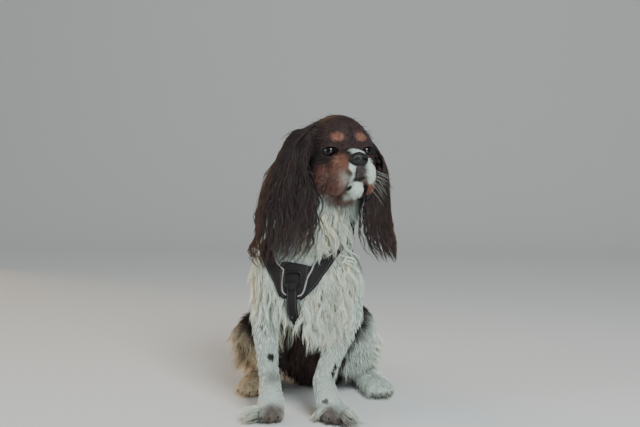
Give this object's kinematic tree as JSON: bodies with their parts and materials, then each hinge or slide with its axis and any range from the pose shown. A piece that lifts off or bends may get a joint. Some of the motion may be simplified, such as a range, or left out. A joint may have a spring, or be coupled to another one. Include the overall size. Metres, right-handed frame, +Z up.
{
  "type": "sitting Cavalier King Charles spaniel",
  "caption": "Life-size sitting small spaniel in black, white and tan, head turned to its left, long wavy coat and a black chest harness with a lead ring; a still display model.",
  "frame": {"origin": "centre of the bounding box's base, on the floor", "axes": "+Z up, the dog's chest faces -Y and its left side is +X"},
  "size_m": [0.2808, 0.4814, 0.4713],
  "materials": {
    "black_coat": "long silky brown-black hair",
    "white_coat": "long wavy white hair",
    "nose": "fine-grained, damp",
    "eye": "dark brown, glossy",
    "webbing": "woven black webbing with light grey piping",
    "buckle": "moulded black plastic",
    "ring": "dark nickel"
  },
  "bodies": {
    "root": {"chest": "white_coat", "ear_left": "black_coat", "ear_right": "black_coat", "eye_left": "eye", "eye_right": "eye", "front_leg_left": "white_coat", "front_leg_right": "white_coat", "front_paw_left": "white_coat", "front_paw_right": "white_coat", "harness_back_plate": "webbing", "harness_breast_strap": "webbing", "harness_buckle_left": "buckle", "harness_buckle_right": "buckle", "harness_front_plate": "webbing", "harness_girth_left": "webbing", "harness_girth_right": "webbing", "harness_ring_back": "ring", "harness_ring_front": "ring", "harness_ring_tab_back": "webbing", "harness_ring_tab_front": "webbing", "harness_strap_left": "webbing", "harness_strap_right": "webbing", "head": "black_coat", "hind_leg_left": "white_coat", "hind_leg_right": "white_coat", "hind_paw_left": "white_coat", "hind_paw_right": "white_coat", "neck": "black_coat", "nose": "nose", "tail": "black_coat", "throat": "white_coat", "torso": "black_coat"}
  },
  "joints": []
}
